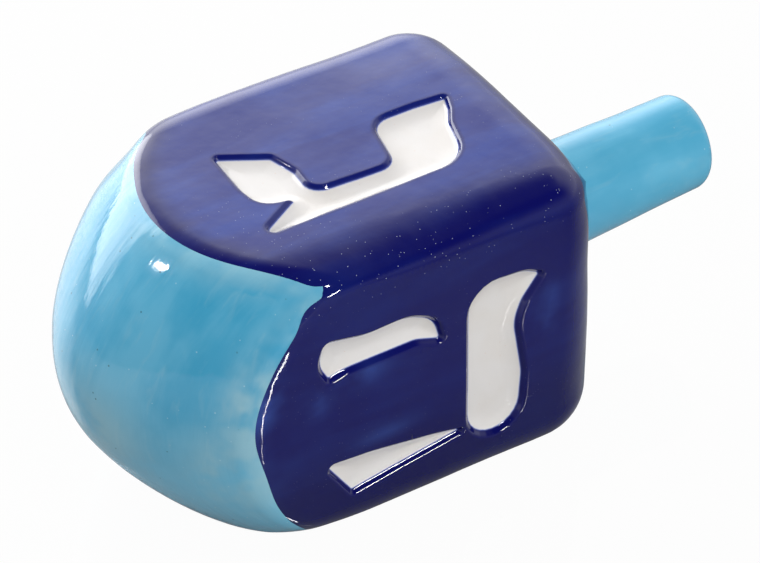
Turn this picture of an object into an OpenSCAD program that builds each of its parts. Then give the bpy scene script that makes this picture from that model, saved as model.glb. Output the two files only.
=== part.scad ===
// A large slip-cast ceramic dreidel, lying on the shin face.
// +Z is up and +X runs along the spin axis, from the round tip to the end of the handle.
// The origin is on the table, below the middle of the whole length.
// Front is -Y: the hey faces front, the gimel faces up, the nun faces back.
// Each casting is first built standing on its tip, with the shoulder at z = 0, and then laid down.

/* [Body] */
// Width of the square body across two faces
face_width = 64; // [58:0.5:72]
// Length from the flat shoulder to the tip
body_length = 100; // [92:0.5:116]
// Radius of the four long edges
edge_radius = 7.5; // [7:0.25:11]
// Radius of the roll from the faces to the shoulder
shoulder_radius = 13; // [10:0.25:16]
// Thickness of the cast wall
wall = 4.5; // [4:0.25:6]

/* [Tip] */
// Radius of the round nose that the toy spins on
nose_radius = 26.5; // [20:0.5:30]
// Radius of the arc that sweeps from the nose to the flank
flank_radius = 73; // [66:0.5:90]
// Largest distance of that arc from the spin axis
flank_reach = 50; // [46:0.25:56]
// How far the body's blue glaze laps over the arched edges on to the tip
glaze_lap = 1; // [0.5:0.1:2]

/* [Handle] */
// Length of the handle above the shoulder
handle_length = 40.5; // [30:0.5:50]
// Diameter of the handle at the shoulder
handle_root_d = 21.8; // [18:0.1:24]
// Diameter of the handle near its end
handle_end_d = 19.8; // [16:0.1:22]
// Radius of the handle's rounded end
handle_end_radius = 2.4; // [1.5:0.1:4]
// Lean of the handle towards the gimel face, in degrees
handle_lean = 2; // [0:0.5:4]
// Radius of the smoothed slip around the foot of the handle
slip_radius = 1.2; // [0.5:0.1:2.5]
// Diameter of the spigot under the foot, which fills the pour hole
spigot_d = 14; // [10:0.5:16]
// Gap around the spigot, at each side
spigot_gap = 0.15; // [0.05:0.05:0.3]
// Diameter of the vent that lets the hollow breathe in the kiln
vent_d = 3; // [2:0.25:4]

/* [Letters] */
// Distance from the shoulder down to the top of the letters
letter_drop = 16; // [14:0.5:20]
// Distance from the foot of the letters down to the arched edge, at the sides of the flat
letter_margin = 5.5; // [5:0.25:14]
// Depth from the face to the white glaze
letter_depth = 1.5; // [1:0.1:2]
// Thickness of the white glaze in each recess
inlay_thickness = 0.5; // [0.3:0.1:1]

/* [Hidden] */
$fn = 96;
// One overrun serves every cut
overrun = 2;
face_reach = face_width / 2;
pocket_depth = letter_depth + inlay_thickness;
// Middle of the nose's arc and of the flank's arc, standing on the tip
nose_height = nose_radius - body_length;
flank_inset = flank_radius - flank_reach;
arc_gap = flank_radius - nose_radius;
flank_height = nose_height + sqrt(pow(arc_gap, 2) - pow(flank_inset, 2));
// Middle of a long edge's arc, and the point of that arc on the diagonal
edge_centre = face_reach - edge_radius;
edge_mid = edge_centre + edge_radius * cos(45);
// Furthest reach of the leaning handle, from the shoulder
handle_reach = handle_end_radius
    + (handle_length - handle_end_radius) * cos(handle_lean)
    + (handle_end_d / 2 - handle_end_radius) * sin(handle_lean);
arch_steps = 24;
corner_steps = 6;

// Corners of the letters, going round each stroke: across, up and rounding radius, all as shares
// of the letter's height, from the top of the letter on the middle line of its face.
gimel_shares = [[
    [-0.082, 0.009, 0.008], [-0.016, -0.018, 0.055], [0.056, -0.065, 0.133], [0.276, -0.135, 0.155],
    [0.264, -1.068, 0.027], [0.142, -0.807, 0.008], [0.109, -0.935, 0.095], [-0.012, -0.949, 0.254],
    [-0.226, -0.934, 0.008], [-0.118, -0.757, 0.016], [0.002, -0.727, 0.045], [0.149, -0.742, 0.071],
    [0.166, -0.373, 0.082], [0.038, -0.342, 0.120], [-0.102, -0.311, 0.092], [-0.096, -0.127, 0.404]]];
hey_shares = [
    [[-0.276, -0.038, 0.015], [-0.184, -0.110, 0.134], [-0.087, -0.144, 0.199], [0.178, -0.100, 0.265],
     [0.423, -0.112, 0.115], [0.404, -0.346, 0.130], [-0.340, -0.353, 0.114], [-0.320, -0.104, 0.188],
     [-0.287, -0.043, 0.041]],
    [[-0.163, -0.484, 0.008], [-0.204, -0.593, 0.135], [-0.206, -0.909, 0.364], [-0.189, -0.976, 0.015],
     [-0.273, -1.022, 0.125], [-0.364, -0.993, 0.023], [-0.326, -0.819, 0.309], [-0.330, -0.633, 0.203],
     [-0.274, -0.515, 0.133]],
    [[0.337, -0.393, 0.008], [0.414, -0.874, 0.024], [0.246, -0.985, 0.013], [0.263, -0.797, 0.397],
     [0.309, -0.510, 0.399]]];
nun_shares = [[
    [-0.122, 0.005, 0.008], [-0.030, -0.018, 0.060], [0.045, -0.075, 0.100], [0.260, -0.122, 0.130],
    [0.257, -0.990, 0.100], [-0.228, -0.984, 0.026], [-0.196, -0.744, 0.036], [0.122, -0.746, 0.053],
    [0.127, -0.378, 0.057], [-0.040, -0.360, 0.120], [-0.140, -0.335, 0.080], [-0.133, -0.165, 0.400]]];
shin_shares = [[
    [-0.410, 0.005, 0.008], [-0.330, -0.040, 0.060], [-0.195, -0.070, 0.070], [-0.200, -0.280, 0.060],
    [-0.258, -0.350, 0.060], [-0.240, -0.640, 0.016], [-0.095, -0.450, 0.160], [-0.070, -0.310, 0.040],
    [-0.118, -0.240, 0.050], [-0.106, 0.005, 0.008], [-0.026, -0.040, 0.060], [0.105, -0.070, 0.070],
    [0.098, -0.300, 0.080], [0.010, -0.540, 0.240], [-0.170, -0.820, 0.030], [0.060, -0.820, 0.140],
    [0.248, -0.650, 0.180], [0.262, -0.310, 0.060], [0.196, -0.240, 0.050], [0.206, 0.005, 0.008],
    [0.286, -0.040, 0.060], [0.412, -0.070, 0.080], [0.412, -0.620, 0.280], [0.200, -0.990, 0.240],
    [-0.352, -0.990, 0.030], [-0.412, -0.280, 0.120]]];

// Height of the flank where it is rho from the spin axis
function flank_at(rho) = flank_height - sqrt(pow(flank_radius, 2) - pow(rho + flank_inset, 2));
// Distance of the rounded square's outline from its middle line, across from the face's middle
function face_at(across) = let (past = max(abs(across) - edge_centre, 0))
    edge_centre + sqrt(pow(edge_radius, 2) - pow(past, 2));
// Height of the glaze line below the arched edge between a face and the tip
function arch_at(across) = flank_at(norm([across, face_at(across)])) - glaze_lap;

// The letters fill what the shoulder and the arched edges leave of the flat
letter_height = -arch_at(edge_centre) - letter_drop - letter_margin;

// Points of the arc that rounds the corner p between its neighbours a and b
function round_corner(a, p, b, radius) =
    let (to_a = (a - p) / norm(a - p), to_b = (b - p) / norm(b - p),
         half = acos(to_a * to_b) / 2,
         run = min(radius / tan(half), norm(a - p) / 2, norm(b - p) / 2),
         reach = run * tan(half),
         middle = p + (to_a + to_b) / norm(to_a + to_b) * reach / sin(half),
         first = p + to_a * run - middle,
         last = p + to_b * run - middle,
         start = atan2(first.y, first.x),
         turn = (atan2(last.y, last.x) - start + 540) % 360 - 180)
    [for (i = [0:corner_steps]) middle
        + reach * [cos(start + turn * i / corner_steps), sin(start + turn * i / corner_steps)]];

// Outline of one stroke from its corner shares
function stroke_outline(shares) =
    let (count = len(shares), corners = [for (s = shares) letter_height * [s.x, s.y]])
    [for (i = [0:count - 1]) each round_corner(corners[(i + count - 1) % count], corners[i],
        corners[(i + 1) % count], letter_height * shares[i].z)];

// Lays the standing toy down on its shin face
module lay_down()
    translate([(body_length - handle_reach) / 2, 0, face_reach])
        rotate([0, 90, 0])
            children();

// Turns a face's own drawing, seen upright from the front, to one of the four faces
module on_face(turns)
    rotate([0, 0, -90 * turns])
        children();

// Height profile of the shoulder's roll, from the middle out to a face
module roll_profile(reach, radius, height) {
    translate([-reach, -height])
        square([2 * reach, height - radius]);
    translate([radius - reach, -height])
        square([2 * (reach - radius), height]);
    for (side = [-1, 1])
        translate([side * (reach - radius), -radius])
            circle(radius);
}

// One rounded corner post: the roll's profile turned about the long edge's own axis
module corner_post(centre, reach, radius, height)
    translate([centre, centre, 0])
        rotate_extrude()
            intersection() {
                translate([0, -height])
                    square([reach - centre, height]);
                translate([-centre, 0])
                    roll_profile(reach, radius, height);
            }

// Square bar with rounded long edges and a rolled shoulder, from the shoulder down
module square_bar(inset) {
    reach = face_reach - inset;
    radius = shoulder_radius - inset;
    height = body_length + overrun;
    translate([0, 0, -inset]) {
        intersection() {
            rotate([90, 0, 0])
                linear_extrude(2 * reach, center = true)
                    roll_profile(reach, radius, height);
            rotate([90, 0, 90])
                linear_extrude(2 * reach, center = true)
                    roll_profile(reach, radius, height);
            translate([0, 0, -height])
                linear_extrude(height)
                    for (turn = [0, 90])
                        rotate(turn)
                            square([2 * reach, 2 * edge_centre], center = true);
        }
        for (turn = [0:90:270])
            rotate(turn)
                corner_post(edge_centre, reach, radius, height);
    }
}

// Half outline of the tip: the nose's arc, the flank's arc and the straight barrel above
module ogive_profile(inset) {
    join_height = nose_height - nose_radius * (flank_height - nose_height) / arc_gap;
    intersection() {
        translate([0, nose_height])
            circle(nose_radius - inset);
        translate([0, -body_length])
            square([flank_reach, body_length]);
    }
    intersection() {
        translate([-flank_inset, flank_height])
            circle(flank_radius - inset);
        translate([0, join_height])
            square([flank_reach, flank_height - join_height]);
    }
    translate([0, flank_height])
        square([flank_reach - inset, overrun - flank_height]);
}

// The whole cast form below the handle, or the hollow inside it
module cast_form(inset)
    intersection() {
        square_bar(inset);
        rotate_extrude()
            ogive_profile(inset);
    }

module cast_shell()
    difference() {
        cast_form(0);
        cast_form(wall);
    }

// Everything above the arched glaze line of one pair of faces
module arch_zone() {
    line = [for (i = [-arch_steps:arch_steps]) edge_mid * i / arch_steps];
    rotate([90, 0, 0])
        linear_extrude(face_width + overrun, center = true)
            polygon(concat(
                [[-face_width, overrun], [-face_width, arch_at(edge_mid)]],
                [for (across = line) [across, arch_at(across)]],
                [[face_width, arch_at(edge_mid)], [face_width, overrun]]));
}

// Space of the blue body, down to the glaze line on all four faces
module body_zone()
    for (turn = [0, 90])
        rotate(turn)
            arch_zone();

// Strokes of a letter as a slab of the given thickness, standing on the floor of its recess
module letter_slab(strokes, thickness)
    translate([0, pocket_depth - face_reach, -letter_drop])
        rotate([90, 0, 0])
            linear_extrude(thickness)
                for (shares = strokes)
                    polygon(stroke_outline(shares));

// Handle's outline from its middle line, with the rounded end and the smoothed slip at its foot
module handle_profile() {
    foot = handle_root_d / 2;
    end = handle_end_d / 2;
    difference() {
        union() {
            polygon([[0, 0], [foot, 0], [end, handle_length - handle_end_radius], [0, handle_length]]);
            intersection() {
                translate([end - handle_end_radius, handle_length - handle_end_radius])
                    circle(handle_end_radius);
                square([end, handle_length]);
            }
            translate([0, handle_length - handle_end_radius])
                square([end - handle_end_radius, handle_end_radius]);
            translate([0, -overrun])
                square([foot + slip_radius, slip_radius + overrun]);
        }
        translate([foot + slip_radius, slip_radius])
            circle(slip_radius);
    }
}

module leaning()
    rotate([0, -handle_lean, 0])
        children();

module body_casting()
    color("midnightblue")
        lay_down()
            difference() {
                intersection() {
                    cast_shell();
                    body_zone();
                }
                on_face(0)
                    letter_slab(hey_shares, pocket_depth + overrun);
                on_face(1)
                    letter_slab(gimel_shares, pocket_depth + overrun);
                on_face(2)
                    letter_slab(nun_shares, pocket_depth + overrun);
                on_face(3)
                    letter_slab(shin_shares, pocket_depth + overrun);
                translate([0, 0, -wall - overrun])
                    cylinder(d = spigot_d + 2 * spigot_gap, h = wall + 2 * overrun);
            }

module tip_casting()
    color("steelblue")
        lay_down()
            difference() {
                cast_shell();
                body_zone();
            }

module handle_casting()
    color("steelblue")
        lay_down()
            difference() {
                union() {
                    intersection() {
                        leaning()
                            rotate_extrude()
                                handle_profile();
                        translate([-face_reach, -face_reach, 0])
                            cube([face_width, face_width, handle_length + overrun]);
                    }
                    translate([0, 0, -wall])
                        cylinder(d = spigot_d, h = wall + slip_radius);
                }
                leaning()
                    translate([0, 0, -wall - overrun])
                        cylinder(d = vent_d, h = wall + handle_length + 2 * overrun);
            }

module inlay(turns, strokes)
    color("white")
        lay_down()
            on_face(turns)
                letter_slab(strokes, inlay_thickness);

module hey_inlay()
    inlay(0, hey_shares);

module gimel_inlay()
    inlay(1, gimel_shares);

module nun_inlay()
    inlay(2, nun_shares);

module shin_inlay()
    inlay(3, shin_shares);

body_casting();
tip_casting();
handle_casting();
hey_inlay();
gimel_inlay();
nun_inlay();
shin_inlay();
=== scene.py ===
"""A large glazed ceramic dreidel lying on its shin face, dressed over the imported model.

Lengths are in millimetres until a mesh is made, and then in metres. The toy's own axes are used for all
shapes: x runs along the spin axis with the shoulder at 0 and the tip below it, y and z run across it.
"""

from __future__ import annotations

import logging
import math
from dataclasses import dataclass, field
from enum import Enum, IntEnum
from typing import Callable

import bpy
import numpy as np
from mathutils import Matrix, Quaternion, Vector

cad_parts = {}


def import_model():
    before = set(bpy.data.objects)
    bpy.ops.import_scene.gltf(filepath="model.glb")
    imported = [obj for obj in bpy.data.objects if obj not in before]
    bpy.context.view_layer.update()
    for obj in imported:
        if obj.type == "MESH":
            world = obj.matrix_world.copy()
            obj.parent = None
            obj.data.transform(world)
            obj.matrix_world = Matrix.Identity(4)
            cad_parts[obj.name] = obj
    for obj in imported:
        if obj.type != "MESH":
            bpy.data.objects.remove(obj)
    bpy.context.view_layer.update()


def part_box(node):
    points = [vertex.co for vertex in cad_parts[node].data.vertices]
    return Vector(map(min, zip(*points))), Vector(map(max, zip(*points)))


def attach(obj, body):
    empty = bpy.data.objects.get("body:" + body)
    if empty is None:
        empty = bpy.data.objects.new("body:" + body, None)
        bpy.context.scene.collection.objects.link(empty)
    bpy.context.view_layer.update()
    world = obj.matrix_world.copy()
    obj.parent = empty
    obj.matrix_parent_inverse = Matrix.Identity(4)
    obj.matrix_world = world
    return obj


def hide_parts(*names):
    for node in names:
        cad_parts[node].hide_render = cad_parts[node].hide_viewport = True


MM = 0.001
SLOPE_STEP = 0.02
LEAST_SLOPE = 0.2
HALVINGS = 30
SPLIT_SHARE = 1.35
SNAP_SHARE = 0.3
ON_LINE = 1e-3
QUICK_FINENESS, FULL_FINENESS = 1.5, 1.28
Array = np.ndarray
log = logging.getLogger("dreidel")


# Shapes


class Side(Enum):
    """The four faces of the body: outward direction, then the direction that is across to the right."""

    HEY = ((0, -1, 0), (0, 0, -1))
    GIMEL = ((0, 0, 1), (0, -1, 0))
    NUN = ((0, 1, 0), (0, 0, 1))
    SHIN = ((0, 0, -1), (0, 1, 0))


def smooth_step(values: Array, low: float, high: float) -> Array:
    """A smooth rise from 0 at low to 1 at high."""
    t = np.clip((values - low) / (high - low), 0, 1)
    return t * t * (3 - 2 * t)


def distance(a: Array, b: Array) -> Array:
    """Distance between the points of each row."""
    return np.linalg.norm(a - b, axis=1)


def unit(vectors: Array) -> Array:
    """Each row scaled to a length of one."""
    return vectors / np.maximum(np.linalg.norm(vectors, axis=1, keepdims=True), 1e-9)


def gradient(field_of: Callable[[Array], Array], points: Array, step: float) -> Array:
    """Slope of a field at each point, by central differences.

    Args:
        field_of: gives one number for each point.
        points: rows of x, y, z.
        step: half the distance between the two samples.

    Returns:
        One vector for each point.
    """
    columns = []
    for axis in np.eye(3):
        ahead, behind = field_of(points + axis * step), field_of(points - axis * step)
        columns.append((ahead - behind) / (2 * step))
    return np.stack(columns, axis=1)


def step_from_zero(field_of: Callable[[Array], Array], points: Array) -> Array:
    """How far each point lies from where a field is zero, along the field's slope.

    Args:
        field_of: gives one number for each point.
        points: rows of x, y, z.

    Returns:
        One vector for each point, to be taken off it.
    """
    slope = gradient(field_of, points, SLOPE_STEP)
    return field_of(points)[:, None] * slope / np.maximum((slope**2).sum(1, keepdims=True), LEAST_SLOPE)


@dataclass
class Ripples:
    """The slight unevenness that a hand leaves on a surface: a sum of long, low waves."""

    seed: int
    height: float
    shortest: float
    longest: float
    waves: int = 28

    def __post_init__(self) -> None:
        """Draws the waves once, from the seed."""
        draw = np.random.default_rng(self.seed)
        size = np.exp(draw.uniform(np.log(self.shortest), np.log(self.longest), self.waves))
        self.turns = unit(draw.normal(size=(self.waves, 3))) * (2 * math.pi / size)[:, None]
        self.phases = draw.uniform(0, 2 * math.pi, self.waves)
        self.heights = self.height * size / size.max() / math.sqrt(self.waves / 2)

    def at(self, points: Array) -> Array:
        """Height of the waves at each point."""
        return np.sin(points @ self.turns.T + self.phases) @ self.heights


@dataclass
class Spot:
    """A soft round spot: a place that is fuller or flatter than drawn, or where the paint is thin."""

    middle: tuple[float, float, float]
    reach: tuple[float, float, float]
    height: float

    def at(self, points: Array) -> Array:
        """Strength of the spot at each point."""
        away = (points - np.array(self.middle)) / np.array(self.reach)
        return self.height * np.exp(-(away**2).sum(1))


@dataclass
class CastForm:
    """The drawn outer form: a square bar with rounded edges, crossed with an ogive."""

    face_width: float = 64.0
    body_length: float = 100.0
    edge_roundings: tuple[tuple[float, float], ...] = ((9.3, 9.3), (7.2, 7.2), (7.5, 7.5), (9.0, 9.0))
    near_edge_at_arch: tuple[float, float] = (13.0, 3.6)
    near_edge_start: float = -8.0
    near_edge_run: float = 54.0
    shoulder_radius: float = 13.0
    nose_radius: float = 26.5
    flank_radius: float = 73.0
    flank_reach: float = 50.0
    arch_softness: float = 2.2
    pour_hole_d: float = 14.3

    def __post_init__(self) -> None:
        """Works out the middles of the ogive's arcs."""
        self.face_reach = self.face_width / 2
        self.nose_x = self.nose_radius - self.body_length
        self.flank_inset = self.flank_radius - self.flank_reach
        gap = self.flank_radius - self.nose_radius
        self.flank_x = self.nose_x + math.sqrt(gap**2 - self.flank_inset**2)

    def bar(self, p: Array) -> Array:
        """Distance outside the square bar with its rolled shoulder.

        Each long edge is rounded by hand, along y and along z by its own amounts, which edge_roundings
        gives in the order front bottom, front top, back bottom, back top. The front top edge changes
        along its length, to near_edge_at_arch.

        Args:
            p: rows of x, y, z.

        Returns:
            One distance for each point, below 0 inside.
        """
        quadrant = 2 * (p[:, 1] > 0) + (p[:, 2] > 0)
        sizes = np.array(self.edge_roundings)[quadrant]
        run = np.clip((self.near_edge_start - p[:, :1]) / self.near_edge_run, 0, 1) * (quadrant == 1)[:, None]
        wide, high = (sizes + run * (np.array(self.near_edge_at_arch) - sizes)).T
        y, z = np.abs(p[:, 1]) - self.face_reach + wide, np.abs(p[:, 2]) - self.face_reach + high
        share = np.maximum(np.hypot(y / wide, z / high), 1e-6)
        rounded = (share - 1) * share / np.hypot(y / wide**2, z / high**2).clip(1e-6)
        across = np.where((y > 0) & (z > 0), rounded, np.maximum(y - wide, z - high))
        u, v = across + self.shoulder_radius, p[:, 0] + self.shoulder_radius
        rolled = np.hypot(np.maximum(u, 0), np.maximum(v, 0))
        return rolled + np.minimum(np.maximum(u, v), 0) - self.shoulder_radius

    def ogive(self, p: Array) -> Array:
        """Distance outside the ogive, which has a round nose and two-arc flanks.

        Args:
            p: rows of x, y, z.

        Returns:
            One distance for each point, below 0 inside.
        """
        x, rho = p[:, 0], np.hypot(p[:, 1], p[:, 2])
        nose = np.hypot(rho, x - self.nose_x) - self.nose_radius
        flank = np.hypot(rho + self.flank_inset, x - self.flank_x) - self.flank_radius
        rise, run = self.flank_x - self.nose_x, self.flank_inset
        in_nose = (self.nose_x - x) * run > rho * rise
        return np.where(in_nose, nose, np.where(x > self.flank_x, rho - self.flank_reach, flank))

    def arch(self, p: Array) -> Array:
        """Distance past the arched edges: above 0 on the round tip, below 0 on the square body."""
        return self.ogive(p) - self.bar(p)

    def gap(self, p: Array) -> Array:
        """Distance outside the whole form, with the arched edges softened.

        Args:
            p: rows of x, y, z.

        Returns:
            One distance for each point, below 0 inside.
        """
        a, b = self.bar(p), self.ogive(p)
        h = np.maximum(self.arch_softness - np.abs(a - b), 0)
        return np.maximum(a, b) + h * h / (4 * self.arch_softness)

    def normal(self, p: Array) -> Array:
        """Outward direction of the form at each point."""
        return unit(gradient(self.gap, p, SLOPE_STEP))

    def settle(self, p: Array, passes: int = 4) -> Array:
        """Moves points on to the form.

        Args:
            p: rows of x, y, z, close to the form.
            passes: how often they are moved.

        Returns:
            The points, on the form.
        """
        for _ in range(passes):
            p = p - step_from_zero(self.gap, p)
        return p


# Letters

# Each stroke is a row of corners: across, up and rounding, in thousandths of the letter's height.
GIMEL = (
    ((-75, 4, 8), (-9, -23, 55), (63, -70, 133), (283, -140, 155), (281, -1048, 20), (149, -812, 8),
     (116, -940, 95), (-5, -954, 254), (-219, -939, 8), (-111, -762, 16), (9, -732, 45), (156, -747, 71),
     (173, -378, 82), (45, -347, 120), (-95, -316, 92), (-89, -132, 404)),
)
HEY = (
    ((-276, -38, 15), (-184, -110, 134), (-87, -144, 199), (178, -100, 265), (423, -112, 115),
     (404, -346, 130), (-340, -353, 114), (-320, -104, 188), (-287, -43, 41)),
    ((-163, -484, 8), (-204, -593, 135), (-206, -909, 364), (-189, -976, 15), (-273, -1022, 125),
     (-364, -993, 23), (-326, -819, 309), (-330, -633, 203), (-274, -515, 133)),
    ((337, -383, 3), (414, -874, 12), (246, -985, 13), (263, -797, 397), (309, -510, 399)),
)
NUN = (
    ((-122, 5, 8), (-30, -18, 60), (45, -75, 100), (260, -122, 130), (257, -990, 100), (-228, -984, 26),
     (-196, -744, 36), (122, -746, 53), (127, -378, 57), (-40, -360, 120), (-140, -335, 80),
     (-133, -165, 400)),
)
SHIN = (
    ((-410, 5, 8), (-330, -40, 60), (-195, -70, 70), (-200, -280, 60), (-258, -350, 60), (-240, -640, 16),
     (-95, -450, 160), (-70, -310, 40), (-118, -240, 50), (-106, 5, 8), (-26, -40, 60), (105, -70, 70),
     (98, -300, 80), (10, -540, 240), (-170, -820, 30), (60, -820, 140), (248, -650, 180), (262, -310, 60),
     (196, -240, 50), (206, 5, 8), (286, -40, 60), (412, -70, 80), (412, -620, 280), (200, -990, 240),
     (-352, -990, 30), (-412, -280, 120)),
)


def round_corner(a: Array, p: Array, b: Array, radius: float, steps: int = 6) -> list[Array]:
    """Points of the arc that rounds a corner between its neighbours.

    Args:
        a: the neighbour before.
        p: the corner.
        b: the neighbour after.
        radius: of the arc, made smaller where a side is too short for it.
        steps: parts of the arc.

    Returns:
        The arc's points, from the side of a to the side of b.
    """
    to_a, to_b = a - p, b - p
    long_a, long_b = np.linalg.norm(to_a), np.linalg.norm(to_b)
    to_a, to_b = to_a / long_a, to_b / long_b
    half = math.acos(float(np.clip(to_a @ to_b, -1, 1))) / 2
    run = min(radius / math.tan(half), long_a / 2, long_b / 2)
    reach = run * math.tan(half)
    middle = p + (to_a + to_b) / np.linalg.norm(to_a + to_b) * reach / math.sin(half)
    first, last = p + to_a * run - middle, p + to_b * run - middle
    start = math.atan2(first[1], first[0])
    turn = (math.atan2(last[1], last[0]) - start + 3 * math.pi) % (2 * math.pi) - math.pi
    angles = [start + turn * i / steps for i in range(steps + 1)]
    return [middle + reach * np.array([math.cos(t), math.sin(t)]) for t in angles]


@dataclass
class Recess:
    """One letter sunk into a face as a soft dish, held as a fine grid of depths."""

    name: str
    side: Side
    strokes: tuple
    height: float = 48.95
    drop: float = 16.0
    rim: float = 1.2
    wall: float = 1.35
    wall_depth: float = 1.12
    dish: float = 3.6
    depth: float = 1.9
    softness: float = 0.16
    grid: float = 0.12
    margin: float = 4.0
    least_out: float = 20.0

    def __post_init__(self) -> None:
        """Works out the grids of distance and depth."""
        self.out, self.across = (np.array(v, float) for v in self.side.value)
        outlines = [self.outline(stroke) for stroke in self.strokes]
        corner = np.concatenate(outlines)
        self.low = corner.min(0) - self.margin
        counts = np.ceil((corner.max(0) + self.margin - self.low) / self.grid).astype(int) + 1
        u = self.low[0] + self.grid * np.arange(counts[0])
        v = self.low[1] + self.grid * np.arange(counts[1])
        spots = np.stack(np.meshgrid(u, v, indexing="ij"), axis=-1).reshape(-1, 2)
        inside, nearest = np.zeros(len(spots), bool), np.full(len(spots), np.inf)
        for line in outlines:
            for a, b in zip(line, np.roll(line, -1, axis=0)):
                run = b - a
                t = np.clip((spots - a) @ run / (run @ run), 0, 1)
                nearest = np.minimum(nearest, np.hypot(*(spots - a - t[:, None] * run).T))
                if a[1] != b[1]:
                    crosses = (spots[:, 1] < a[1]) != (spots[:, 1] < b[1])
                    at = a[0] + (spots[:, 1] - a[1]) * run[0] / run[1]
                    inside ^= crosses & (spots[:, 0] < at)
        self.distance = np.where(inside, nearest, -nearest).reshape(counts)
        steep = smooth_step(self.distance, -self.rim, self.wall - self.rim)
        past = np.clip(self.distance / self.dish, 0, 1)
        floor = (self.depth - self.wall_depth) * (1 - (1 - past) ** 2)
        self.depths = self.blurred(self.wall_depth * steep + floor)

    def outline(self, stroke: tuple) -> Array:
        """Draws one stroke with its corners rounded.

        Args:
            stroke: its corners.

        Returns:
            Rows of across and up, in millimetres from the shoulder.
        """
        shares = np.array(stroke) / 1000
        corners = shares[:, :2] * self.height - (0, self.drop)
        count, line = len(corners), []
        for i, radius in enumerate(shares[:, 2] * self.height):
            line += round_corner(corners[i - 1], corners[i], corners[(i + 1) % count], radius)
        keep = [p for i, p in enumerate(line) if np.linalg.norm(p - line[i - 1]) > 1e-6]
        return np.array(keep)

    def blurred(self, values: Array) -> Array:
        """Softens a grid by a Gaussian as wide as the rim's rounding.

        Args:
            values: a grid of numbers.

        Returns:
            A grid of the same size.
        """
        reach = int(3 * self.softness / self.grid) + 1
        weights = np.exp(-((np.arange(-reach, reach + 1) * self.grid / self.softness) ** 2) / 2)
        weights /= weights.sum()
        for axis in (0, 1):
            padded = np.pad(values, [(reach, reach) if axis == i else (0, 0) for i in (0, 1)], mode="edge")
            values = np.apply_along_axis(lambda row: np.convolve(row, weights, "valid"), axis, padded)
        return values

    def look_up(self, grid: Array, p: Array, outside: float) -> Array:
        """Reads a grid at points of the form.

        Args:
            grid: numbers at steps across and up.
            p: rows of x, y, z.
            outside: what points off this face get.

        Returns:
            One number for each point.
        """
        spot = (np.stack([p @ self.across, p[:, 0]], axis=1) - self.low) / self.grid
        on_face = p @ self.out > self.least_out
        on_face &= (spot > 0).all(1) & (spot < np.array(grid.shape) - 1.001).all(1)
        result = np.full(len(p), outside)
        spot = spot[on_face]
        cell = spot.astype(int)
        (s, t), (i, j) = (spot - cell).T, cell.T
        result[on_face] = ((1 - s) * (1 - t) * grid[i, j] + s * (1 - t) * grid[i + 1, j]
                           + (1 - s) * t * grid[i, j + 1] + s * t * grid[i + 1, j + 1])
        return result

    def inside(self, p: Array) -> Array:
        """Distance inside the white outline, below 0 outside it."""
        return self.look_up(self.distance, p, -self.margin)

    def deep(self, p: Array) -> Array:
        """Depth of the recess."""
        return self.look_up(self.depths, p, 0.0)


# Meshes


class Zone(IntEnum):
    """Areas of the casting's outer skin."""

    BODY = 0
    TIP = 1
    POUR_HOLE = 2
    HEY = 3
    GIMEL = 4
    NUN = 5
    SHIN = 6


def sides_of(faces: Array) -> Array:
    """The two points of each side, three sides to a face."""
    return faces[:, [[0, 1], [1, 2], [2, 0]]].reshape(-1, 2)


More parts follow.
